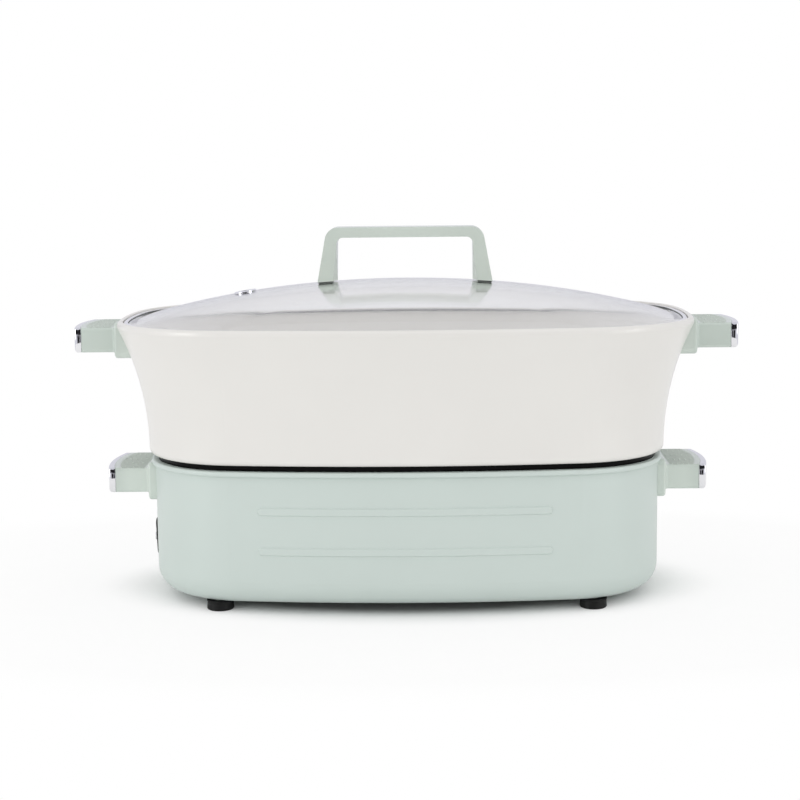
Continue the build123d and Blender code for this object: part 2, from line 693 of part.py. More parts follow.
def thermostat_nut():
    nut = Plane(origin=(0, PANEL_Y, CONTROL_Z), z_dir=(0, 1, 0)) * extrude(
        RegularPolygon(NUT_R, 6), NUT_THICK)
    return nut - control_hole(0, BUSH_R)


def knob_shaft():
    start = SWITCH_Y - SWITCH_SIZE[1] / 2
    return rod((0, start, CONTROL_Z), (0, 1, 0), SHAFT_R, KNOB_FRONT - KNOB_WALL - start)


def control_knob():
    """Hollow tapered knob with a grip bar across its face."""
    skirt = Plane(origin=(0, KNOB_Y, CONTROL_Z), z_dir=(0, 1, 0)) * extrude(
        Circle(KNOB_R), KNOB_LENGTH * 0.6, taper=degrees(atan(KNOB_TAPER / KNOB_LENGTH)))
    bar = block(-KNOB_R * 0.3, KNOB_R * 0.3, KNOB_Y, KNOB_FRONT, CONTROL_Z - KNOB_R * 0.9,
                CONTROL_Z + KNOB_R * 0.9)
    bar &= rod((0, KNOB_Y, CONTROL_Z), (0, 1, 0), KNOB_R - KNOB_TAPER, KNOB_LENGTH)
    knob = skirt + bar
    knob -= rod((0, KNOB_Y, CONTROL_Z), (0, 1, 0), NUT_R + 2.5, NUT_THICK + 1.2)
    knob -= rod((0, KNOB_Y, CONTROL_Z), (0, 1, 0), SHAFT_R, KNOB_LENGTH - KNOB_WALL)
    return knob - pointer_block()


def pointer_block():
    """Slot for the pointer line on the knob's grip bar."""
    return block(-0.8, 0.8, KNOB_FRONT - 0.8, KNOB_FRONT, CONTROL_Z + KNOB_R * 0.35,
                 CONTROL_Z + KNOB_R * 0.8)


def indicator_lens():
    """Round lens pressed through the panel and the wall."""
    lens = rod((LENS_X, LENS_BACK, CONTROL_Z), (0, 1, 0), LENS_R, PANEL_Y + LENS_PROUD - LENS_BACK)
    return fillet(lens.edges().filter_by(GeomType.CIRCLE).sort_by(Axis.Y)[-1], LENS_PROUD * 0.8)


def indicator_lamp():
    """Neon lamp pushed on behind the lens."""
    return rod((LENS_X, LENS_BACK - LAMP_LENGTH, CONTROL_Z), (0, 1, 0), LENS_R - 0.4, LAMP_LENGTH)


# ---- power inlet -------------------------------------------------------------------

def power_inlet():
    """Socket housing: sloped flange outside the wall and an open box behind it."""
    width, height = INLET_SIZE
    low, high = INLET_Z - height / 2, INLET_Z + height / 2
    with BuildSketch(Plane.XZ) as side:
        with BuildLine():
            Polyline((INLET_X + 8, low), (INLET_X - INLET_PROUD[0], low), (INLET_X - INLET_PROUD[1], high - 2),
                     (INLET_X - INLET_PROUD[1], high), (INLET_X + 8, high), close=True)
        make_face()
    flange = extrude(side.sketch, width / 2, both=True)
    frame = Plane(origin=(0, 0, INLET_Z), x_dir=(0, 1, 0), z_dir=(-1, 0, 0)) * extrude(
        RectangleRounded(width, height, INLET_ROUND), HALF_LENGTH + CORE)
    housing = (flange & frame) - base_envelope()
    housing += inlet_body()
    depth, tall = INLET_BODY
    mouth = block(INLET_X - INLET_DEPTH, INLET_X + INLET_DEPTH - INLET_WALL, -depth / 2 + INLET_WALL,
                  depth / 2 - INLET_WALL, INLET_Z - tall / 2 + INLET_WALL,
                  INLET_Z + tall / 2 - INLET_WALL)
    housing -= mouth
    for x, y, z in inlet_screw_seats():
        housing -= rod((x - 8, y, z), (1, 0, 0), SCREW_HEAD_R + 0.2, 8)
        housing -= rod((x, y, z), (1, 0, 0), SCREW_R, INLET_DEPTH)
    for y, z in pin_places():
        housing -= rod((INLET_X + INLET_DEPTH - INLET_WALL, y, z), (1, 0, 0), PIN_R, INLET_WALL)
    return housing


def pin_places():
    return [(-PIN_SPACING, INLET_Z - 2), (0, INLET_Z + 3), (PIN_SPACING, INLET_Z - 2)]


def inlet_pins():
    back = INLET_X + INLET_DEPTH
    pins = Part()
    for y, z in pin_places():
        pin = rod((back + 6, y, z), (-1, 0, 0), PIN_R, INLET_WALL + PIN_LENGTH + 6)
        tip = pin.edges().filter_by(GeomType.CIRCLE).sort_by(Axis.X)[0]
        pins += fillet(tip, PIN_R * 0.5)
    return pins


def inlet_screws():
    screws = Part()
    for seat in inlet_screw_seats():
        screws += screw(seat, (1, 0, 0), 12)
    return screws


# ---- side handles -------------------------------------------------------------------

def end_arc_face(x_back, x_front, half_width, bulge_back=True):
    """Plan shape with a bowed front edge, and a bowed or straight back edge."""
    with BuildSketch() as sketch:
        with BuildLine():
            ThreePointArc((x_front, -half_width), (x_front + GRIP_BULGE, 0), (x_front, half_width))
            Line((x_front, half_width), (x_back, half_width))
            if bulge_back:
                ThreePointArc((x_back, half_width), (x_back + GRIP_BULGE, 0), (x_back, -half_width))
            else:
                Line((x_back, half_width), (x_back, -half_width))
            Line((x_back, -half_width), (x_front, -half_width))
        make_face()
    return sketch.sketch


def handle_pad(mount_x, grip_z):
    """Soft inlay in the top of the grip."""
    tip = mount_x + GRIP_REACH - TRIM_WIDTH
    face = end_arc_face(mount_x + NECK_R + PAD_EDGE, tip - PAD_MARGIN, GRIP_HALF_WIDTH - PAD_EDGE,
                        False)
    pad = Pos(0, 0, grip_z + GRIP_HEIGHT / 2 - PAD_THICK) * extrude(face, PAD_THICK)
    return fillet(pad.edges().filter_by(Axis.Z), PAD_EDGE)


def handle_trim(mount_x, grip_z):
    """Bright band round the end of the grip."""
    tip = mount_x + GRIP_REACH
    face = end_arc_face(tip - TRIM_WIDTH, tip, GRIP_HALF_WIDTH)
    band = Pos(0, 0, grip_z - GRIP_HEIGHT / 2) * extrude(face, GRIP_HEIGHT)
    outer = [e for e in band.edges() if e.geom_type == GeomType.CIRCLE]
    outer = sorted(outer, key=lambda e: e.center().X)[-2:]
    return fillet(outer, GRIP_ROUND)


def side_handle(mount_x, grip_z, mount_low, mount_high, wall_x):
    """Grip and mount block in one moulding, at the right end."""
    tip = mount_x + GRIP_REACH - TRIM_WIDTH
    face = end_arc_face(mount_x - 1, tip, GRIP_HALF_WIDTH, False)
    grip = Pos(0, 0, grip_z - GRIP_HEIGHT / 2) * extrude(face, GRIP_HEIGHT)
    grip = fillet(grip.edges().filter_by(Axis.X), GRIP_ROUND)
    middle = (mount_low + mount_high) / 2
    mount = Plane(origin=(wall_x, 0, middle), x_dir=(0, 1, 0), z_dir=(1, 0, 0)) * extrude(
        RectangleRounded(2 * MOUNT_HALF_WIDTH, mount_high - mount_low, MOUNT_ROUND),
        mount_x - wall_x)
    mount = fillet(mount.faces().sort_by(Axis.X)[-1].edges(), MOUNT_EDGE_R)
    handle = grip + mount
    neck = [e for e in handle.edges()
            if abs(e.center().X - mount_x) < 0.01 and abs(e.center().Y) < GRIP_HALF_WIDTH + 0.5
            and abs(e.center().Z - grip_z) < GRIP_HEIGHT / 2 + 0.5]
    step = min(MOUNT_SHOULDER, mount_high - grip_z - GRIP_HEIGHT / 2)
    handle = fillet(neck, min(NECK_R, 0.95 * (step - MOUNT_EDGE_R)))
    return handle - handle_pad(mount_x, grip_z)


def base_handle():
    """Handle of the base, held by screws from inside the shell."""
    low, high = BASE_TOP - BASE_MOUNT_DROP[1], BASE_TOP - BASE_MOUNT_DROP[0]
    handle = side_handle(BASE_MOUNT_X, BASE_GRIP_Z, low, high, HALF_LENGTH - CORE)
    handle -= base_envelope()
    for y in (-HANDLE_SCREW_Y, HANDLE_SCREW_Y):
        handle -= rod((INNER_BOSS_X, y, HANDLE_SCREW_Z), (1, 0, 0), SCREW_R, HANDLE_SCREW_LENGTH)
    return handle


def base_handle_screws():
    screws = Part()
    for y in (-HANDLE_SCREW_Y, HANDLE_SCREW_Y):
        screws += both_ends(screw((INNER_BOSS_X, y, HANDLE_SCREW_Z), (1, 0, 0), HANDLE_SCREW_LENGTH))
    return screws


def pot_lug():
    """Cast tongue on the pot's end wall that fills the handle's mount."""
    return block(HALF_LENGTH, LUG_X, -LUG_SIZE[0] / 2, LUG_SIZE[0] / 2, LUG_Z, LUG_Z + LUG_SIZE[1])


def lug_screw_seats():
    return [(LUG_SCREW_X, s * LUG_SCREW_Y, LUG_SCREW_Z) for s in (-1, 1)]


def pot_handle(envelope):
    """Handle of the pot, slid on to the cast lug and screwed from below."""
    high = RIM_Z - POT_MOUNT_DROP[0]
    handle = side_handle(POT_MOUNT_X, POT_GRIP_Z, POT_MOUNT_LOW, high, HALF_LENGTH - CORE)
    handle -= envelope
    handle -= pot_lug()
    for x, y, z in lug_screw_seats():
        handle -= rod((x, y, POT_MOUNT_LOW - 1), (0, 0, 1), SCREW_HEAD_R + 0.2, z - POT_MOUNT_LOW + 1)
        handle -= rod((x, y, z), (0, 0, 1), SCREW_R, LUG_SCREW_LENGTH)
    return handle


def pot_handle_screws():
    screws = Part()
    for seat in lug_screw_seats():
        screws += both_ends(screw(seat, (0, 0, 1), LUG_SCREW_LENGTH))
    return screws


# ---- pot ------------------------------------------------------------------------------

def pot_shell(envelope):
    """Cast pot: flared wall, rolled rim with a ledge for the lid, and a located floor."""
    pot = envelope + both_ends(pot_lug())
    pot += plate(SEAT_IN - POT_BOSS_GAP, BOSS_Z, POT_Z)
    ledge_low = LID_Z - LID_LEDGE_HEIGHT
    throat_x = MOUTH_X - LID_LEDGE_WIDTH
    floor_z = POT_Z + POT_FLOOR
    pot -= ring(pot_section(POT_WALL, floor_z, ledge_low, POT_INNER_R))
    pot -= plate(-CORE, floor_z, RIM_Z + 1)
    pot -= ring(rect(-CORE, throat_x, ledge_low - 1, LID_Z + 1))
    pot -= ring(rect(-CORE, MOUTH_X, LID_Z, RIM_Z + 1))
    for x, y, z in lug_screw_seats():
        for s in (-1, 1):
            pot -= rod((s * x, y, z), (0, 0, 1), SCREW_R, LUG_SCREW_LENGTH)
    inner_crest = [e for e in pot.edges() if abs(e.center().Z - RIM_Z) < 0.01
                   and abs(e.bounding_box().size.Z) < 0.01]
    return fillet(inner_crest, RIM_WIDTH - RIM_ROUND - 0.3)


# ---- lid --------------------------------------------------------------------------------

def dome(lift=0.0):
    """Solid under the glass crest: similar outlines that shrink as they rise."""
    base = outline(DOME_X)
    steps = [1.0 - 0.1 * k for k in range(10)] + [0.05]
    levels = [base.scale(s).moved(Location((0, 0, GLASS_Z + lift + GLASS_RISE * (1 - s**GLASS_CROWN))))
              for s in steps]
    return Part() + Solid.make_loft(levels, ruled=False)


def glass_z(x):
    """Height of the glass on the lid's long axis."""
    return GLASS_Z + GLASS_RISE * (1 - (abs(x) / DOME_HALF_LENGTH) ** GLASS_CROWN)


VENT_TILT = -atan(GLASS_CROWN * GLASS_RISE / DOME_HALF_LENGTH
                  * (abs(VENT_X) / DOME_HALF_LENGTH) ** (GLASS_CROWN - 1))


def vent_frame():
    """Plane on the glass under the vent, with its normal square to the dome."""
    return Plane(origin=(VENT_X, 0, glass_z(VENT_X)), x_dir=(cos(VENT_TILT), 0, -sin(VENT_TILT)),
                 z_dir=(sin(VENT_TILT), 0, cos(VENT_TILT)))


def handle_bolt_places():
    return [(-HANDLE_BOLT_X, 0), (HANDLE_BOLT_X, 0)]


def lid_glass():
    """Domed tempered glass with a flat edge that the steel rim holds."""
    glass = plate(GLASS_X, GLASS_Z - GLASS_THICK, GLASS_Z) + dome()
    glass -= dome(-GLASS_THICK)
    glass -= vent_frame() * Pos(0, 0, -THROUGH / 2) * extrude(Circle(VENT_HOLE_R), THROUGH)
    for x, y in handle_bolt_places():
        glass -= rod((x, y, GLASS_Z), (0, 0, 1), HANDLE_BOLT_R + 0.6, THROUGH)
    return glass


def lid_rim():
    """Steel channel round the edge of the glass."""
    section = rect(LID_X - LID_RIM_SHEET, LID_X, LID_Z, GLASS_Z + LID_FLANGE_SHEET)
    section += rect(LID_X - LID_RIM_LOWER, LID_X, LID_Z, LID_Z + LID_FLANGE_SHEET)
    section += rect(LID_X - LID_RIM_FLANGE, LID_X, GLASS_Z, GLASS_Z + LID_FLANGE_SHEET)
    corners = [(LID_X, LID_Z), (LID_X, GLASS_Z + LID_FLANGE_SHEET)]
    return ring(rounded(section, corners, LID_FLANGE_SHEET * 0.8))


def steam_vent():
    """Steel eyelet through the glass."""
    frame = vent_frame()
    depth = GLASS_THICK * cos(VENT_TILT)
    top = extrude(Circle(VENT_FLANGE_R), VENT_FLANGE)
    top = fillet(top.edges().sort_by(Axis.Z)[-1], VENT_FLANGE * 0.6)
    eyelet = top + Pos(0, 0, -depth - 1.2) * extrude(Circle(VENT_HOLE_R), depth + 1.2)
    eyelet += Pos(0, 0, -depth - 1.2) * extrude(Circle(VENT_FLANGE_R - 1.5), 1.0)
    eyelet -= Pos(0, 0, -THROUGH / 2) * extrude(Circle(VENT_BORE_R), THROUGH)
    return frame * eyelet


def leg_facet(x_side, y_side):
    """Sliver cut from a leg's inner edge, growing from nothing to the full facet at the foot."""
    low, high = HANDLE_LOW_Z, HANDLE_TOP_Z - HANDLE_BAR - HANDLE_INNER_R
    x, y = x_side * HANDLE_INNER_X, y_side * HANDLE_HALF_DEPTH
    corner = Vector(x, y, low)
    points = [corner, Vector(x + x_side * HANDLE_FACET, y, low), Vector(x, 0, low), Vector(x, y, high)]
    faces = [Face(Wire.make_polygon([points[i] for i in range(4) if i != skip], close=True))
             for skip in range(4)]
    return Part() + Solid(Shell(faces))


def rounded_at(profile, height, radius):
    """Round the corners of an upright profile that lie at one height."""
    return fillet([v for v in profile.vertices() if abs(v.Z - height) < 0.01], radius)


def lid_handle():
    """Bridge handle with splayed legs and faceted inner edges."""
    low = HANDLE_LOW_Z
    lean = (HANDLE_FOOT_X - HANDLE_TOP_X) / (HANDLE_TOP_Z - CREST_Z)
    foot_x = HANDLE_TOP_X + lean * (HANDLE_TOP_Z - low)
    under = HANDLE_TOP_Z - HANDLE_BAR
    with BuildSketch(Plane.XZ) as sketch:
        with BuildLine():
            Polyline((-foot_x, low), (-HANDLE_TOP_X, HANDLE_TOP_Z), (HANDLE_TOP_X, HANDLE_TOP_Z),
                     (foot_x, low), (HANDLE_INNER_X, low), (HANDLE_INNER_X, under),
                     (-HANDLE_INNER_X, under), (-HANDLE_INNER_X, low), close=True)
        make_face()
    profile = rounded_at(sketch.sketch, HANDLE_TOP_Z, HANDLE_OUTER_R)
    profile = rounded_at(profile, under, HANDLE_INNER_R)
    body = extrude(profile, HANDLE_HALF_DEPTH, both=True)
    for sx in (-1, 1):
        for sy in (-1, 1):
            body -= leg_facet(sx, sy)
    body -= dome(GASKET)
    for x, y in handle_bolt_places():
        body -= rod((x, y, GLASS_Z), (0, 0, 1), HANDLE_BOLT_R, handle_bolt_top() - GLASS_Z)
    return body


def handle_bolt_seat():
    """Underside of the washers below the glass."""
    return glass_z(HANDLE_BOLT_X) - GLASS_THICK - WASHER_THICK


def handle_bolt_top():
    return handle_bolt_seat() + HANDLE_BOLT_LENGTH + 1.0


def lid_handle_gaskets():
    """Thin pads between the feet of the handle and the glass."""
    pads = Part()
    for s in (-1, 1):
        pads += block(s * (HANDLE_INNER_X + HANDLE_FACET), s * (HANDLE_FOOT_X - 0.4),
                      -HANDLE_HALF_DEPTH, HANDLE_HALF_DEPTH, CREST_Z - 8, CREST_Z)
    pads = (pads & dome(GASKET)) - dome()
    for x, y in handle_bolt_places():
        pads -= rod((x, y, CREST_Z - THROUGH / 2), (0, 0, 1), HANDLE_BOLT_R, THROUGH)
    return pads


def lid_handle_washers():
    """Round washers under the glass, shaped to the dome."""
    washers = Part()
    for x, y in handle_bolt_places():
        washers += rod((x, y, handle_bolt_seat()), (0, 0, 1), WASHER_R, WASHER_THICK + 4)
    washers &= dome(-GLASS_THICK)
    for x, y in handle_bolt_places():
        washers -= rod((x, y, handle_bolt_seat()), (0, 0, 1), HANDLE_BOLT_R, THROUGH)
    return washers


def lid_handle_screws():
    screws = Part()
    for x, y in handle_bolt_places():
        screws += screw((x, y, handle_bolt_seat()), (0, 0, 1), HANDLE_BOLT_LENGTH,
                        HANDLE_BOLT_R, HANDLE_BOLT_R * 1.8, 2.4)
    return screws


# ---- build and write every piece ---------------------------------------------------------

def build_parts():
    envelope = pot_envelope()
    element = heating_element()
    parts = {
        "base_shell": base_shell(),
        "seat_ring": seat_ring(),
        "reflector_tray": reflector_tray(),
        "heating_element": element,
        "element_clips": element_clips(element),
        "element_terminals": element_terminals(),
        "sensor_guide": sensor_guide(),
        "sensor_cap": sensor_cap(),
        "sensor_spring": sensor_spring(),
        "bottom_cover": bottom_cover(),
        "bottom_cover_screws": bottom_cover_screws(),
        "foot_screws": foot_screws(),
        "control_panel": control_panel(),
        "thermostat_switch": thermostat_switch(),
        "thermostat_nut": thermostat_nut(),
        "knob_shaft": knob_shaft(),
        "control_knob": control_knob(),
        "knob_pointer": pointer_block(),
        "indicator_lens": indicator_lens(),
        "indicator_lamp": indicator_lamp(),
        "power_inlet": power_inlet(),
        "inlet_pins": inlet_pins(),
        "inlet_screws": inlet_screws(),
        "base_handle_screws": base_handle_screws(),
        "pot_shell": pot_shell(envelope),
        "pot_handle_screws": pot_handle_screws(),
        "lid_glass": lid_glass(),
        "lid_rim": lid_rim(),
        "steam_vent": steam_vent(),
        "lid_handle": lid_handle(),
        "lid_handle_gaskets": lid_handle_gaskets(),
        "lid_handle_washers": lid_handle_washers(),
        "lid_handle_screws": lid_handle_screws(),
    }
    for name, (x, y) in foot_places().items():
        parts["foot_" + name] = foot(x, y)
    right_end = {
        "base_handle": base_handle(),
        "base_handle_pad": handle_pad(BASE_MOUNT_X, BASE_GRIP_Z),
        "base_handle_trim": handle_trim(BASE_MOUNT_X, BASE_GRIP_Z),
        "pot_handle": pot_handle(envelope),
        "pot_handle_pad": handle_pad(POT_MOUNT_X, POT_GRIP_Z),
        "pot_handle_trim": handle_trim(POT_MOUNT_X, POT_GRIP_Z),
    }
    for name, shape in right_end.items():
        parts[name + "_right"] = shape
        parts[name + "_left"] = mirror(shape, about=Plane.YZ)
    return parts


os.makedirs("parts", exist_ok=True)
for part_name, part_shape in build_parts().items():
    export_step(part_shape, os.path.join("parts", part_name + ".step"))
    box = part_shape.bounding_box()
    print(part_name, len(part_shape.solids()), round(part_shape.volume), box.min, box.max)
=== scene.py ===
import json
from math import atan2, cos, pi, radians, sin

import bmesh
import bpy
import numpy as np
from mathutils import Matrix, Vector
from mathutils.bvhtree import BVHTree


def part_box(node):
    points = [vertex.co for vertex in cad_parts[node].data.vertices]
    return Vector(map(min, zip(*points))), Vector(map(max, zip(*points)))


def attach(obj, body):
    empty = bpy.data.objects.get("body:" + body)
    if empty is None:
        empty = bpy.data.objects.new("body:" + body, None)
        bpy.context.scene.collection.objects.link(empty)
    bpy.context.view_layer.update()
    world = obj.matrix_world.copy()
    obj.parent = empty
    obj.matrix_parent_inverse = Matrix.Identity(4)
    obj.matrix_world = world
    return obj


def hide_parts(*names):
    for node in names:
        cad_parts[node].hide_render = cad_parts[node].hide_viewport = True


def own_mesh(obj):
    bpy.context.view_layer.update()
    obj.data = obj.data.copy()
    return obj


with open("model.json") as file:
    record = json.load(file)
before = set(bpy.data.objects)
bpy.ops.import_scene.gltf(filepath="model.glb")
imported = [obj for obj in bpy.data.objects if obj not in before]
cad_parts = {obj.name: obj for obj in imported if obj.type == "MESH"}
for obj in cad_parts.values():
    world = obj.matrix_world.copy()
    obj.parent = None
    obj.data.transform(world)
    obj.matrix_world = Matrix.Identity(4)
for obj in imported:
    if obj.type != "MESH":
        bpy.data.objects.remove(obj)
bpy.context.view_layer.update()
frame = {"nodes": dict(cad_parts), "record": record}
scene = bpy.context.scene
scene.view_settings.view_transform = "Standard"
nodes = frame["nodes"]

# ---- camera ------------------------------------------------------------------

CAMERA_DISTANCE = 1.2598
CAMERA_HEIGHT = 0.3142
CAMERA_ORBIT = radians(1.2)
CAMERA_PITCH = radians(8.013)
CAMERA_ROLL = radians(-0.6)
CAMERA_SIDE = -0.0047
CAMERA_LENS = 77.66
CAMERA_SENSOR = 36.0


def make_camera():
    """Camera at the reference view: slightly above the rim, a little to the right."""
    data = bpy.data.cameras.new("camera")
    data.lens = CAMERA_LENS
    data.sensor_width = CAMERA_SENSOR
    data.dof.use_dof = False
    cam = bpy.data.objects.new("camera", data)
    scene.collection.objects.link(cam)
    turn = Matrix.Rotation(CAMERA_ORBIT, 4, "Z")
    place = turn @ Matrix.Translation((CAMERA_SIDE, -CAMERA_DISTANCE, CAMERA_HEIGHT))
    tilt = Matrix.Rotation(radians(90) - CAMERA_PITCH, 4, "X")
    cam.matrix_world = place @ tilt @ Matrix.Rotation(CAMERA_ROLL, 4, "Z")
    scene.camera = cam


make_camera()

# ---- node helpers --------------------------------------------------------------

NOISE_ROUGHNESS = 0.55
CLOUD_RANGE = (0.3, 0.7)


def srgb(r, g, b):
    """Linear colour of an 8-bit screen colour."""
    def lin(v):
        v /= 255
        return v / 12.92 if v <= 0.04045 else ((v + 0.055) / 1.055) ** 2.4
    return (lin(r), lin(g), lin(b), 1.0)


class Tree:
    """Short way to add nodes to a material or world and to link them."""

    def __init__(self, owner):
        owner.use_nodes = True
        self.tree = owner.node_tree
        self.tree.nodes.clear()

    def add(self, kind, links=None, **settings):
        """New node with its settings, and its sockets set to values or linked."""
        node = self.tree.nodes.new(kind)
        for name, value in settings.items():
            setattr(node, name, value)
        for name, value in (links or {}).items():
            self.put(node, name, value)
        return node

    def put(self, node, name, value):
        """Link a socket to another node's output, or set it to a constant."""
        socket = node.inputs[name]
        if isinstance(value, bpy.types.NodeSocket):
            self.tree.links.new(value, socket)
        else:
            socket.default_value = value

    def math(self, op, a, b=0.0):
        return self.add("ShaderNodeMath", {0: a, 1: b}, operation=op).outputs[0]

    def map(self, value, a, b, c, d, smooth=True):
        """Value carried from the range a to b over to the range c to d."""
        kind = "SMOOTHSTEP" if smooth else "LINEAR"
        node = self.add("ShaderNodeMapRange",
                        {0: value, 1: a, 2: b, 3: c, 4: d}, interpolation_type=kind)
        return node.outputs[0]

    def mix(self, factor, a, b, mode="MIX"):
        node = self.add("ShaderNodeMix", data_type="RGBA", blend_type=mode)
        self.put(node, 0, factor)
        self.put(node, 6, a)
        self.put(node, 7, b)
        return node.outputs[2]

    def place(self):
        return self.add("ShaderNodeTexCoord").outputs["Object"]

    def noise(self, scale, detail=3.0):
        node = self.add("ShaderNodeTexNoise", {
            "Vector": self.place(), "Scale": scale, "Detail": detail, "Roughness": NOISE_ROUGHNESS})
        return node.outputs["Fac"]


# ---- materials -------------------------------------------------------------------

CLOUD_SCALE = 14.0
GRAIN_DEPTH = 0.0002
ROUGH_SPREAD = 0.06
LEAST_ROUGH = 0.02
# Range in x beyond which the grips take painted shade.
OUTER_SHADE_RANGE = (0.198, 0.212)


def material(name):
    """New node material, its tree and its shader."""
    mat = bpy.data.materials.new(name)
    tree = Tree(mat)
    shader = tree.add("ShaderNodeBsdfPrincipled")
    out = tree.add("ShaderNodeOutputMaterial")
    tree.tree.links.new(shader.outputs[0], out.inputs["Surface"])
    return mat, tree, shader


def surface(name, colour, rough, metal=0.0, tone=0.03, grain=900.0, bump=0.05, coat=0.0,
            coat_rough=0.1, specular=0.5, outer=None):
    """Painted, moulded or metal surface with tone clouds, fine grain and uneven gloss.

    An outer colour multiplies the surface's own beyond the outer range in x, where the grips are: painted
    shade that darkens the grips.
    """
    mat, t, shader = material(name)
    clouds = t.noise(CLOUD_SCALE)
    fine = t.noise(grain, 2.0)
    low = tuple(c * (1 - tone) for c in colour[:3]) + (1.0,)
    high = tuple(min(1.0, c * (1 + tone)) for c in colour[:3]) + (1.0,)
    shade = t.mix(t.map(clouds, *CLOUD_RANGE, 0.0, 1.0), low, high)
    # Painted shade: the outer colour darkens the grips beyond the outer range.
    if outer:
        across = t.math("ABSOLUTE", t.add("ShaderNodeSeparateXYZ", {0: t.place()}).outputs["X"])
        shade = t.mix(t.map(across, *OUTER_SHADE_RANGE, 0.0, 1.0), shade, t.mix(1.0, shade, outer, "MULTIPLY"))
    t.put(shader, "Base Color", shade)
    t.put(shader, "Roughness", t.map(t.math("ADD", clouds, fine), 2 * CLOUD_RANGE[0], 2 * CLOUD_RANGE[1],
                                     max(LEAST_ROUGH, rough - ROUGH_SPREAD), rough + ROUGH_SPREAD, False))
    t.put(shader, "Metallic", metal)
    t.put(shader, "Specular IOR Level", specular)
    t.put(shader, "Coat Weight", coat)
    t.put(shader, "Coat Roughness", coat_rough)
    relief = t.add("ShaderNodeBump", {"Strength": bump, "Distance": GRAIN_DEPTH, "Height": fine})
    t.put(shader, "Normal", relief.outputs[0])
    return mat


MINT = srgb(203, 214, 209)
MATERIALS = {
    "mint_enamel": surface("mint_enamel", MINT, 0.42, tone=0.008, coat=0.15, coat_rough=0.25),
    # mint_plastic's outer colour is painted shade on the grips.
    "mint_plastic": surface("mint_plastic", srgb(209, 219, 211), 0.34, grain=1500.0, coat=0.5,
                            coat_rough=0.08, outer=(0.88, 0.89, 0.89, 1)),
    "pad_grey": surface("pad_grey", srgb(186, 195, 187), 0.6),
    "gloss_black": surface("gloss_black", srgb(6, 6, 6), 0.15, specular=0.08),
    "aluminised_steel": surface("aluminised_steel", (0.72, 0.72, 0.73, 1), 0.35, metal=1.0),
    "element_steel": surface("element_steel", (0.33, 0.32, 0.31, 1), 0.5, metal=1.0),
    "element_steel_clip": surface("element_steel_clip", (0.5, 0.5, 0.5, 1), 0.4, metal=1.0),
    "ceramic": surface("ceramic", (0.85, 0.83, 0.78, 1), 0.6),
    "guide_steel": surface("guide_steel", (0.6, 0.6, 0.61, 1), 0.3, metal=1.0),
    "sensor_aluminium": surface("sensor_aluminium", (0.75, 0.75, 0.76, 1), 0.35, metal=1.0),
    "spring_steel": surface("spring_steel", (0.45, 0.45, 0.46, 1), 0.3, metal=1.0),
    "cover_black": surface("cover_black", (0.03, 0.03, 0.03, 1), 0.55),
    "screw_steel": surface("screw_steel", (0.55, 0.55, 0.56, 1), 0.3, metal=1.0),
    "rubber": surface("rubber", srgb(18, 18, 18), 0.5, specular=0.25),
    "panel_black": surface("panel_black", (0.015, 0.015, 0.015, 1), 0.15, coat=0.5),
    "switch_body": surface("switch_body", (0.05, 0.05, 0.05, 1), 0.55),
    "pointer_white": surface("pointer_white", (0.8, 0.8, 0.78, 1), 0.5),
    "lens_red": surface("lens_red", (0.5, 0.03, 0.02, 1), 0.1),
    "lamp_glass": surface("lamp_glass", (0.9, 0.5, 0.3, 1), 0.1),
    "inlet_black": surface("inlet_black", (0.02, 0.02, 0.02, 1), 0.45),
    "pin_chrome": surface("pin_chrome", (0.7, 0.65, 0.5, 1), 0.15, metal=1.0),
    "pot_enamel": surface("pot_enamel", srgb(231, 229, 225), 0.35, tone=0.008, coat=0.3, coat_rough=0.2),
    "rim_steel": surface("rim_steel", (0.88, 0.88, 0.9, 1), 0.12, metal=1.0),
    "gasket": surface("gasket", (0.07, 0.08, 0.075, 1), 0.5),
    "trim_chrome": surface("trim_chrome", (0.82, 0.82, 0.84, 1), 0.06, metal=1.0, bump=0.0),
}

GLASS_TINT = (0.925, 0.927, 0.943, 1)
GLASS_IOR = 1.5
GLASS_CLOUDS = 60.0
GLASS_ROUGH = 0.02
GLASS_CLEAR = (0.99, 0.99, 0.99, 1)


def glass(name):
    """Clear tempered glass that lets shadow and diffuse rays straight through to the pot."""
    mat, t, shader = material(name)
    t.put(shader, "Base Color", GLASS_TINT)
    t.put(shader, "Roughness", t.map(t.noise(GLASS_CLOUDS), *CLOUD_RANGE, 0.0, GLASS_ROUGH))
    t.put(shader, "Transmission Weight", 1.0)
    t.put(shader, "IOR", GLASS_IOR)
    path = t.add("ShaderNodeLightPath")
    through = t.math("MAXIMUM", path.outputs["Is Shadow Ray"], path.outputs["Is Diffuse Ray"])
    clear = t.add("ShaderNodeBsdfTransparent", {"Color": GLASS_CLEAR})
    blend = t.add("ShaderNodeMixShader", {0: through, 1: shader.outputs[0], 2: clear.outputs[0]})
    out = next(n for n in t.tree.nodes if n.type == "OUTPUT_MATERIAL")
    t.tree.links.new(blend.outputs[0], out.inputs["Surface"])
    return mat


MATERIALS["lid_glass"] = glass("lid_glass")

for part in frame["record"]["subparts"]:
    part_mesh = nodes[part["node"]].data
    part_mesh.materials.clear()
    part_mesh.materials.append(MATERIALS[part["material_slot"]])

# ---- pieces made here ---------------------------------------------------------------

SHARP_ANGLE = radians(50)


def piece(name, verts, faces, slot, body, merge=0.0):
    """Smooth mesh piece that rides on a body and takes the slot's material."""
    mesh = bpy.data.meshes.new(name)
    mesh.from_pydata(verts, [], faces)
    build = bmesh.new()
    build.from_mesh(mesh)
    if merge:
        bmesh.ops.remove_doubles(build, verts=build.verts, dist=merge)
    bmesh.ops.recalc_face_normals(build, faces=build.faces)
    build.to_mesh(mesh)
    build.free()
    mesh.shade_smooth()
    mesh.set_sharp_from_angle(angle=SHARP_ANGLE)
    mesh.materials.append(MATERIALS[slot])
    made = bpy.data.objects.new(name, mesh)
    scene.collection.objects.link(made)
    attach(made, body)
    return made


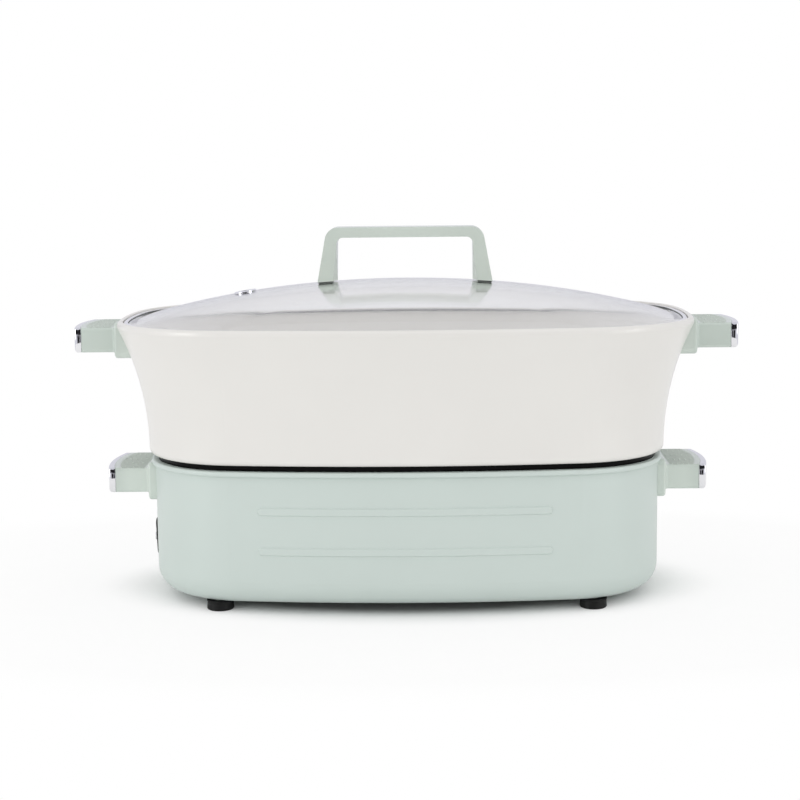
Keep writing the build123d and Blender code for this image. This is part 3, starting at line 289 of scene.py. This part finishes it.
def bands(rows, count, start=0):
    """Faces that join each row of a number of points to the next row, all the way round."""
    faces = []
    for r in range(rows - 1):
        here, there = start + r * count, start + (r + 1) * count
        faces += [(here + k, here + (k + 1) % count, there + (k + 1) % count, there + k)
                  for k in range(count)]
    return faces


# ---- glass dome and its seal

HALF_LENGTH, HALF_DEPTH = 0.1865, 0.1096
CORNER_R, SIDE_BOW_R, END_BOW_R = 0.073, 0.893, 0.338
ARC_STEPS = (24, 28, 36)


def outline(offset):
    """Points of the pot's oblong outline of tangent arcs, moved out by an offset."""
    side, end = Vector((0, HALF_DEPTH - SIDE_BOW_R)), Vector((HALF_LENGTH - END_BOW_R, 0))
    to_side, to_end = SIDE_BOW_R - CORNER_R, END_BOW_R - CORNER_R
    span = end - side
    along = (to_side ** 2 - to_end ** 2 + span.length_squared) / (2 * span.length)
    unit = span.normalized()
    corner = side + unit * along + Vector((unit.y, -unit.x)) * (to_side ** 2 - along ** 2) ** 0.5
    first = (corner - end).normalized()
    last = (corner - side).normalized()
    a0, a1 = atan2(first.y, first.x), atan2(last.y, last.x)
    end_steps, corner_steps, side_steps = ARC_STEPS
    quarter = [(end, END_BOW_R, a0 * k / end_steps) for k in range(end_steps)]
    quarter += [(corner, CORNER_R, a0 + (a1 - a0) * k / corner_steps) for k in range(corner_steps)]
    quarter += [(side, SIDE_BOW_R, a1 + (pi / 2 - a1) * k / side_steps) for k in range(side_steps + 1)]
    points = [c + Vector((cos(a), sin(a))) * (r + offset) for c, r, a in quarter]
    points += [Vector((-p.x, p.y)) for p in points[-2::-1]]
    return points + [Vector((p.x, -p.y)) for p in points[-2:0:-1]]


GLASS_WALL = 0.0034
GLASS_RISE = 0.0271
GLASS_FLANGE = 0.0051
DOME_STRETCH = 0.6
DOME_TERMS = 8
DOME_LEVELS = 60
FOOT_POWER = 8


def dome_height(foot):
    """Height over a foot outline, from 0 to 1, of a membrane that is blown up evenly."""
    def powers(x, y):
        w = (DOME_STRETCH * np.asarray(x) + 1j * np.asarray(y)) / foot[0].x
        return np.stack([(w ** (2 * n)).real for n in range(DOME_TERMS)], -1), abs(w) ** 2 / 4

    at_foot, foot_load = powers([p.x for p in foot], [p.y for p in foot])
    weights = np.linalg.lstsq(at_foot, foot_load, rcond=None)[0]

    def height(x, y):
        terms, load = powers(x, y)
        return (terms @ weights - load) / weights[0]
    return height


def lid_dome():
    """Tempered glass dome: an evenly blown shell over a flat edge."""
    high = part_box("lid_glass")[1]
    edge = outline(high.x - HALF_LENGTH)
    foot = outline(high.x - HALF_LENGTH - GLASS_FLANGE)
    height = dome_height(foot)
    x, y = np.array([p.x for p in foot]), np.array([p.y for p in foot])
    left_over = height(x, y)
    base_z = high.z - GLASS_RISE
    verts = []

    def level(s, drop):
        z = base_z - drop + GLASS_RISE * (height(s * x, s * y) - s ** FOOT_POWER * left_over)
        verts.extend(zip((s * x).tolist(), (s * y).tolist(), z.tolist()))

    steps = [1 - k / DOME_LEVELS for k in range(DOME_LEVELS)]
    for s in reversed(steps):
        level(s, 0.0)
    for drop in (0.0, GLASS_WALL):
        verts += [(p.x, p.y, base_z - drop) for p in edge]
    for s in steps:
        level(s, GLASS_WALL)
    count, rows = len(foot), 2 * DOME_LEVELS + 2
    faces = bands(rows, count)
    for start, z in ((0, high.z), ((rows - 1) * count, high.z - GLASS_WALL)):
        verts.append((0, 0, z))
        faces += [(start + k, start + (k + 1) % count, len(verts) - 1) for k in range(count)]
    made = piece("lid_dome", verts, faces, "lid_glass", "lid")
    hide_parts("lid_glass")


lid_dome()

TUBE_SIDES = 8


def tube(path, radius, closed):
    """Verts and faces of a round tube along a nearly level path of points."""
    verts, count = [], len(path)
    for k, p in enumerate(path):
        ahead = path[(k + 1) % count] if closed else path[min(k + 1, count - 1)]
        behind = path[k - 1] if closed else path[max(k - 1, 0)]
        out = (ahead - behind).cross(Vector((0, 0, 1))).normalized()
        over = out.cross(ahead - behind).normalized()
        for j in range(TUBE_SIDES):
            a = 2 * pi * j / TUBE_SIDES
            verts.append(p + out * (radius * cos(a)) + over * (radius * sin(a)))
    faces = bands(count, TUBE_SIDES)
    if closed:
        last = (count - 1) * TUBE_SIDES
        faces += [(last + j, last + (j + 1) % TUBE_SIDES, (j + 1) % TUBE_SIDES, j)
                  for j in range(TUBE_SIDES)]
    return verts, faces


# The dark bead below is painted shade along the glass's edge.
LIP_WIDTH = 0.0031
SHADE_BEAD_R = 0.00035


def lid_shade_bead():
    """Thin dark bead along the glass's edge at the lip of the steel channel: painted shade for the dark line
    where glass meets steel.
    """
    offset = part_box("lid_rim")[1].x - HALF_LENGTH - LIP_WIDTH - SHADE_BEAD_R / 2
    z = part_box("lid_glass")[1].z - GLASS_RISE
    verts, faces = tube([Vector((p.x, p.y, z)) for p in outline(offset)], SHADE_BEAD_R, True)
    piece("lid_shade_bead", verts, faces, "gasket", "lid")


lid_shade_bead()

# ---- sensor spring

SPRING_WIRE_R = 0.0007
SPRING_TURNS = 5
SPRING_STEPS = 32


def sensor_coil():
    """Coil spring with a flat ring at each end, which rides with the sensor."""
    low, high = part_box("sensor_spring")
    radius, bottom, top = high.x - SPRING_WIRE_R, low.z + SPRING_WIRE_R, high.z - SPRING_WIRE_R

    def spot(k, z):
        turn = 2 * pi * k / SPRING_STEPS
        return Vector((radius * cos(turn), radius * sin(turn), z))

    steps = SPRING_STEPS * SPRING_TURNS
    coil = [spot(k, bottom + (top - bottom) * k / steps) for k in range(steps + 1)]
    verts, faces = tube(coil, SPRING_WIRE_R, False)
    for z in (bottom, top):
        ring_verts, ring_faces = tube([spot(k, z) for k in range(SPRING_STEPS)], SPRING_WIRE_R, True)
        faces += [tuple(i + len(verts) for i in face) for face in ring_faces]
        verts += ring_verts
    made = piece("sensor_coil", verts, faces, "spring_steel", "sensor")
    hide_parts("sensor_spring")
    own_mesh(made)


sensor_coil()

# ---- marks round the knob

MARKS = 10
MARK_R = 0.0004
MARK_LENGTH = 0.0024
MARK_RISE = 0.00012
MARK_GAP = 0.0014
MARK_SIDES = 16
# Each ring of a mark: its share of the radius, and its height in rises.
MARK_PROFILE = ((1.0, -1.0), (1.0, 0.6), (0.7, 1.0))
KNOB_TURN = 270


def dial_marks():
    """Fine raised marks on the plaque over the knob's turn, the first at the off position."""
    low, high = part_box("control_knob")
    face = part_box("control_panel")[1].y
    middle, start = (low.z + high.z) / 2, (high.x - low.x) / 2 + MARK_GAP
    rows = len(MARK_PROFILE)
    verts, faces = [], []
    for k in range(MARKS):
        turn = radians(KNOB_TURN * k / (MARKS - 1))
        out, across = Vector((sin(turn), 0, cos(turn))), Vector((cos(turn), 0, -sin(turn)))
        first = len(verts)
        for share, rise in MARK_PROFILE:
            for j in range(MARK_SIDES):
                a = 2 * pi * (j + 0.5) / MARK_SIDES
                end = start + (MARK_LENGTH if cos(a) > 0 else 0)
                spot = out * (end + share * MARK_R * cos(a)) + across * (share * MARK_R * sin(a))
                verts.append((spot.x, face + rise * MARK_RISE, middle + spot.z))
        faces += bands(rows, MARK_SIDES, first)
        faces += [tuple(first + row * MARK_SIDES + j for j in range(MARK_SIDES)) for row in (0, rows - 1)]
    piece("dial_marks", verts, faces, "pointer_white", "base")


dial_marks()

# ---- end bands of the grips

CORNER_STEPS = 5
LOOP_STEP = 0.0012


def rounded_loop(width, height, left_r, right_r):
    """Closed loop of a rectangle from x 0 to width, centred on z, with rounded corners."""
    half = height / 2
    corners = [(left_r, -half + left_r, left_r, 180), (width - right_r, -half + right_r, right_r, 270),
               (width - right_r, half - right_r, right_r, 0), (left_r, half - left_r, left_r, 90)]
    loop = []
    for cx, cz, r, start in corners:
        for k in range(CORNER_STEPS + 1):
            a = radians(start + 90 * k / CORNER_STEPS)
            loop.append((cx + r * cos(a), cz + r * sin(a)))
    dense = []
    for k, (x, z) in enumerate(loop):
        nx, nz = loop[(k + 1) % len(loop)]
        parts = max(1, int(abs(nz - z) / LOOP_STEP))
        dense += [(x + (nx - x) * j / parts, z + (nz - z) * j / parts) for j in range(parts)]
    return dense


TRIM_WIDTH = 0.0047
TRIM_INNER_R = 0.0005
TRIM_OUTER_R = 0.0020
TRIM_STATIONS = 36
TRIM_CROWN = 0.0012
TRIM_CAP = 0.0003
# Each ring of an end face: its share of the half width, and how far it lies back from the crown.
TRIM_EDGE = ((1.0, 0.00035), (0.95, 0.0001), (0.86, 0.0), (0.7, 0.0), (0.5, 0.0), (0.25, 0.0), (0.0, 0.0))
TRIM_MERGE = 0.00001


def end_band(name, node, body):
    """Bright band round the end of a grip, with crowned end faces."""
    low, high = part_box(node)
    side = 1 if low.x > 0 else -1
    inner, outer = sorted((abs(low.x), abs(high.x)))
    bulge = outer - inner - TRIM_WIDTH
    half_h, middle = (high.z - low.z) / 2, (high.z + low.z) / 2
    loop = rounded_loop(TRIM_WIDTH, 2 * half_h, TRIM_INNER_R, TRIM_OUTER_R)
    spine = half_h - TRIM_WIDTH / 2

    def spot(a, b, y):
        x = inner + a + bulge * (1 - (y / high.y) ** 2)
        return (side * x, y, middle + b)

    def face_y(b, t):
        return high.y - TRIM_CROWN * (b / half_h) ** 2 - TRIM_CAP * t * t

    rows = []
    for k in range(TRIM_STATIONS + 1):
        f = 2 * k / TRIM_STATIONS - 1
        rows.append([spot(a, b, f * (face_y(b, 1.0) - TRIM_EDGE[0][1])) for a, b in loop])
    for sign in (1, -1):
        caps = []
        for t, back in TRIM_EDGE:
            cap = []
            for a, b in loop:
                mid_a, mid_b = TRIM_WIDTH / 2, max(-spine, min(spine, b))
                pa, pb = mid_a + (a - mid_a) * t, mid_b + (b - mid_b) * t
                cap.append(spot(pa, pb, sign * (face_y(pb, t) - back)))
            caps.append(cap)
        rows = rows + caps[1:] if sign > 0 else caps[:0:-1] + rows
    verts = [v for row in rows for v in row]
    made = piece(name, verts, bands(len(rows), len(loop)), "trim_chrome", body, merge=TRIM_MERGE)
    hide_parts(node)


# ---- grip dots

DOT_PITCH = 0.0039
DOT_R = 0.0008
DOT_RISE = 0.0005
# Each ring of a dot: its share of the radius, and its height in rises.
DOT_PROFILE = ((1.0, -0.2), (0.9, 0.6), (0.55, 0.92))
DOT_SIDES = 10
DOT_INSET = (0.0016, 0.0014)
DOT_ROWS = 8
DOT_ROW_PITCH = 0.018
DOT_ROOM = 1.2
PROBE_HEIGHT = 0.01
FLAT_WITHIN = 0.0002


def pad_dots(name, node, body):
    """Rows of grip dots moulded on the flat top of a soft inlay, the first at its front edge."""
    low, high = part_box(node)
    place = nodes[node].matrix_world
    top = BVHTree.FromPolygons([place @ v.co for v in nodes[node].data.vertices],
                               [tuple(f.vertices) for f in nodes[node].data.polygons])

    def flat(x, y):
        hit = top.ray_cast(Vector((x, y, high.z + PROBE_HEIGHT)), Vector((0, 0, -1)))[0]
        return hit is not None and high.z - hit.z < FLAT_WITHIN

    rings = len(DOT_PROFILE)
    reach = DOT_ROOM * DOT_R
    verts, faces = [], []
    for row in range(DOT_ROWS):
        y = low.y + DOT_INSET[1] + row * DOT_ROW_PITCH
        for step in range(int((high.x - low.x) / DOT_PITCH)):
            x = low.x + DOT_INSET[0] + step * DOT_PITCH
            if not all(flat(x + i * reach, y + j * reach) for i in (-1, 1) for j in (-1, 1)):
                continue
            start = len(verts)
            for share, rise in DOT_PROFILE:
                for k in range(DOT_SIDES):
                    a = radians(360 / DOT_SIDES * k)
                    verts.append((x + DOT_R * share * cos(a), y + DOT_R * share * sin(a),
                                  high.z + rise * DOT_RISE))
            verts.append((x, y, high.z + DOT_RISE))
            crown, tip = start + (rings - 1) * DOT_SIDES, start + rings * DOT_SIDES
            faces += bands(rings, DOT_SIDES, start)
            faces += [(crown + k, crown + (k + 1) % DOT_SIDES, tip) for k in range(DOT_SIDES)]
            faces.append(tuple(start + DOT_SIDES - 1 - k for k in range(DOT_SIDES)))
    piece(name, verts, faces, "mint_plastic", body)


for body_name in ("base", "pot"):
    for end in ("left", "right"):
        end_band(f"{body_name}_end_band_{end}", f"{body_name}_handle_trim_{end}", body_name)
        pad_dots(f"{body_name}_pad_dots_{end}", f"{body_name}_handle_pad_{end}", body_name)

# ---- stage -----------------------------------------------------------------------

WHITE = (1.0, 1.0, 1.0, 1.0)
FLOOR_R = 0.9
FLOOR_STEP = 5
PAPER_CLOUDS = 40.0
PAPER_TONES = (0.965, 0.975)
# Half axes of the oval in which distances on the floor are measured.
SHADOW_OVAL = (0.175, 0.095)
# Painted shade: the floor's colour darkens towards and under the base's foot.
SHADE_UNDER_BASE = (0.84, 1.02, 0.45, 1.0)
GLOW_NEAR = (0.98, 1.36, 0.0, 0.8)
GLOW_FAR = (1.3, 3.2, 0.0, 1.0)


def make_floor():
    """Pale floor, darkened beneath the base as painted shade, that keeps the shadow near the object and runs
    into the white backdrop.
    """
    mesh = bpy.data.meshes.new("floor")
    rim = [(FLOOR_R * cos(radians(a)), FLOOR_R * sin(radians(a)), 0) for a in range(0, 360, FLOOR_STEP)]
    mesh.from_pydata(rim, [], [tuple(range(len(rim)))])
    floor = bpy.data.objects.new("floor", mesh)
    scene.collection.objects.link(floor)
    mat = bpy.data.materials.new("floor")
    t = Tree(mat)
    seen = t.add("ShaderNodeLightPath").outputs["Is Camera Ray"]
    half_x, half_y = SHADOW_OVAL
    oval = t.add("ShaderNodeVectorMath", {0: t.place(), 1: (1 / half_x, 1 / half_y, 0)}, operation="MULTIPLY")
    length = t.add("ShaderNodeVectorMath", {0: oval.outputs[0]}, operation="LENGTH").outputs["Value"]
    # Painted shade: the paper's colour is darker beneath the base.
    tone = t.math("MULTIPLY", t.map(t.noise(PAPER_CLOUDS), *CLOUD_RANGE, *PAPER_TONES),
                  t.map(length, *SHADE_UNDER_BASE))
    paper = t.add("ShaderNodeBsdfDiffuse", {"Color": tone})
    glow = t.add("ShaderNodeEmission", {"Color": WHITE, "Strength": 1.0})
    far = t.math("MAXIMUM", t.map(length, *GLOW_NEAR), t.map(length, *GLOW_FAR))
    blend = t.add("ShaderNodeMixShader", {
        0: t.math("MULTIPLY", far, seen), 1: paper.outputs[0], 2: glow.outputs[0]})
    out = t.add("ShaderNodeOutputMaterial")
    t.tree.links.new(blend.outputs[0], out.inputs["Surface"])
    mesh.materials.append(mat)


WORLD_LEVEL = 0.955
BACKDROP = (0.73, 0.73, 0.79, 1)
DARK = (0.012, 0.012, 0.014, 1)
SOFTBOX = (4.0, 4.0, 4.0, 1)
DEGREES = 57.2958
# Panels in degrees: bottom and top over the horizon, near and far to either side of the front.
DARK_UPPER = (7.0, 28.0, -9.0, 46.0)
DARK_LOWER = (-60.0, 7.0, 1.0, 20.0)
SOFTBOX_PANEL = (-4.0, 36.0, 47.0, 68.0)
SOFT_BOTTOM, SOFT_TOP, SOFT_NEAR, SOFT_FAR = 2, 3, 2, 4


def make_world():
    """White studio: plain white to the eye, level light, and panels that only reflections show."""
    world = bpy.data.worlds.new("studio")
    scene.world = world
    t = Tree(world)
    path = t.add("ShaderNodeLightPath")
    plain = t.math("MAXIMUM", path.outputs["Is Camera Ray"], path.outputs["Is Transmission Ray"])
    way = t.add("ShaderNodeTexCoord").outputs["Generated"]
    x, y, z = t.add("ShaderNodeSeparateXYZ", {0: way}).outputs
    rise = t.math("MULTIPLY", t.math("ARCSINE", z), DEGREES)
    turn = t.math("MULTIPLY", t.math("ARCTAN2", x, t.math("MULTIPLY", y, -1.0)), DEGREES)
    turn = t.math("ABSOLUTE", turn)

    def panel(bottom, top, near, far):
        up = t.math("MULTIPLY", t.map(rise, bottom - SOFT_BOTTOM, bottom + SOFT_BOTTOM, 0.0, 1.0),
                    t.map(rise, top - SOFT_TOP, top + SOFT_TOP, 1.0, 0.0))
        across = t.math("MULTIPLY", t.map(turn, near - SOFT_NEAR, near + SOFT_NEAR, 0.0, 1.0),
                        t.map(turn, far - SOFT_FAR, far + SOFT_FAR, 1.0, 0.0))
        return t.math("MULTIPLY", up, across)

    dark = t.math("MAXIMUM", panel(*DARK_UPPER), panel(*DARK_LOWER))
    mirror = t.mix(panel(*SOFTBOX_PANEL), t.mix(dark, BACKDROP, DARK), SOFTBOX)
    level = (WORLD_LEVEL, WORLD_LEVEL, WORLD_LEVEL, 1)
    colour = t.mix(plain, t.mix(path.outputs["Is Glossy Ray"], level, mirror), WHITE)
    back = t.add("ShaderNodeBackground", {"Color": colour, "Strength": 1.0})
    out = t.add("ShaderNodeOutputWorld")
    t.tree.links.new(back.outputs[0], out.inputs["Surface"])


LAMP_AIM = (0, 0, 0.15)
LAMP_SIZE = (0.5, 0.9)


def make_lamp(name, place, power):
    """Soft lamp that points at the middle of the pot."""
    data = bpy.data.lights.new(name, "AREA")
    data.shape = "RECTANGLE"
    data.size, data.size_y = LAMP_SIZE
    data.energy = power
    lamp = bpy.data.objects.new(name, data)
    scene.collection.objects.link(lamp)
    lamp.location = place
    lamp.rotation_euler = (Vector(LAMP_AIM) - Vector(place)).to_track_quat("-Z", "Y").to_euler()


make_floor()
make_world()
make_lamp("softbox_left", (-1.7, -1.6, 0.75), 3.8)
make_lamp("softbox_right", (1.7, -1.6, 0.75), 0.6)

# ---- close -----------------------------------------------------------------------

bpy.context.view_layer.update()
